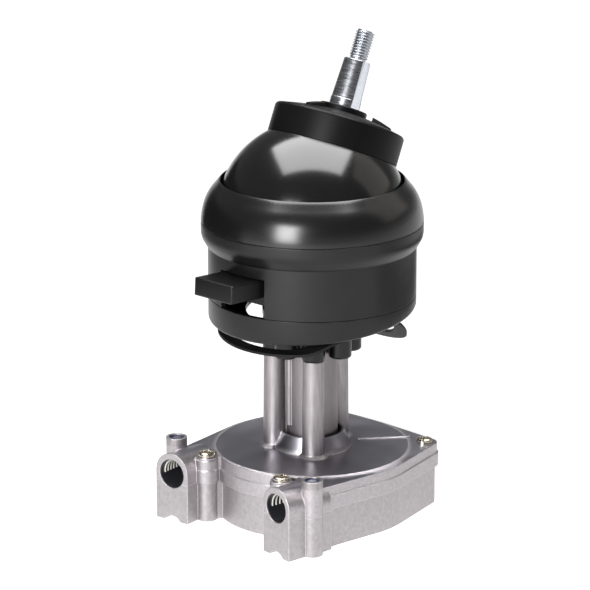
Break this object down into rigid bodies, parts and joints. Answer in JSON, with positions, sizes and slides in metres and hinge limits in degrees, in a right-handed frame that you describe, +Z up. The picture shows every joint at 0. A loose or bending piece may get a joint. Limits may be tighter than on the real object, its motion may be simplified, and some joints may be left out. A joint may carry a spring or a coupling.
{
  "type": "rotary steering helm",
  "caption": "Boat steering helm with a tilting ball head on a column over a geared cable gearbox.",
  "frame": {"origin": "on the column axis, on the flat face under the gearbox", "axes": "+Z up the column, -Y to the front, where the cable ports and the tilt lever are"},
  "size_m": [0.14, 0.1592, 0.3058],
  "materials": {
    "cast_aluminium": "sand-textured die casting",
    "cast_aluminium_lid": "smooth bead-blasted casting",
    "yellow_zinc": "yellow zinc plate",
    "plated_steel": "bright zinc plate",
    "blue_nylon": "moulded",
    "gear_steel": "sintered",
    "drum_nylon": "glass-filled",
    "bush_acetal": "machined",
    "shaft_steel": "turned stainless",
    "housing_plastic": "satin moulded",
    "bezel_plastic": "polished",
    "ball_plastic": "polished",
    "cap_plastic": "semi-gloss moulded",
    "gasket_rubber": "flat sheet",
    "frame_alloy": "die cast",
    "lever_plastic": "satin moulded",
    "spring_wire": "drawn wire"
  },
  "bodies": {
    "gearbox": {"gearbox_base": "cast_aluminium", "gearbox_lid": "cast_aluminium_lid", "lid_screws": "yellow_zinc", "port_lock_bolts": "plated_steel", "port_lock_nuts": "plated_steel", "nylon_collars": "blue_nylon", "ring_gear": "gear_steel", "foot_bush": "bush_acetal", "lower_bush": "bush_acetal", "upper_bush": "bush_acetal", "housing_base": "housing_plastic", "tilt_housing": "housing_plastic", "bezel_ring": "bezel_plastic", "dash_gasket": "gasket_rubber", "cradle": "frame_alloy", "post_screws": "plated_steel", "tilt_pivot_pins": "plated_steel", "lever_pins": "plated_steel", "lever_spring": "spring_wire"},
    "head": {"tilt_frame": "frame_alloy", "shaft_bearing": "bush_acetal", "ball_dome": "ball_plastic", "head_cap": "cap_plastic", "cap_screws": "plated_steel", "hub_disc": "cap_plastic", "lock_sector": "gear_steel"},
    "wheel_drive": {"wheel_shaft": "shaft_steel", "snap_ring": "spring_wire", "upper_yoke": "gear_steel", "joint_stubs": "gear_steel"},
    "drive": {"drive_shaft": "shaft_steel", "lower_yoke": "gear_steel", "joint_centre": "gear_steel"},
    "drum": {"cable_drum": "drum_nylon", "planet_pins": "plated_steel"},
    "planet_1": {"planet_gear_1": "gear_steel"},
    "planet_2": {"planet_gear_2": "gear_steel"},
    "planet_3": {"planet_gear_3": "gear_steel"},
    "lever": {"release_lever": "lever_plastic", "lock_pawl": "gear_steel"}
  },
  "joints": [
    {"name": "head_tilt", "type": "hinge", "parent": "gearbox", "child": "head", "pos_m": [0, 0, 0.1932], "axis": [1, 0, 0], "range_deg": [0, 48]},
    {"name": "wheel_spin", "type": "hinge", "parent": "head", "child": "wheel_drive", "pos_m": [0, 0, 0.1932], "axis": [0, 0.4067, 0.9135], "continuous": true},
    {"name": "drive_spin", "type": "hinge", "parent": "gearbox", "child": "drive", "pos_m": [0, 0, 0.01], "axis": [0, 0, 1], "continuous": true},
    {"name": "drum_spin", "type": "hinge", "parent": "gearbox", "child": "drum", "pos_m": [0, 0, 0.02], "axis": [0, 0, 1], "continuous": true},
    {"name": "planet_1_spin", "type": "hinge", "parent": "drum", "child": "planet_1", "pos_m": [0.0225, 0, 0.01], "axis": [0, 0, 1], "continuous": true},
    {"name": "planet_2_spin", "type": "hinge", "parent": "drum", "child": "planet_2", "pos_m": [-0.01125, 0.01949, 0.01], "axis": [0, 0, 1], "continuous": true},
    {"name": "planet_3_spin", "type": "hinge", "parent": "drum", "child": "planet_3", "pos_m": [-0.01125, -0.01949, 0.01], "axis": [0, 0, 1], "continuous": true},
    {"name": "lever_release", "type": "hinge", "parent": "gearbox", "child": "lever", "pos_m": [0, -0.006, 0.152], "axis": [1, 0, 0], "range_deg": [0, 10], "stiffness_Nm_per_rad": 1, "springref_deg": -20.05}
  ],
  "couplings": [
    {"joint": "drive_spin", "follows": "wheel_spin", "ratio": 1},
    {"joint": "drum_spin", "follows": "wheel_spin", "ratio": 0.25},
    {"joint": "planet_1_spin", "follows": "wheel_spin", "ratio": -0.75},
    {"joint": "planet_2_spin", "follows": "wheel_spin", "ratio": -0.75},
    {"joint": "planet_3_spin", "follows": "wheel_spin", "ratio": -0.75}
  ]
}
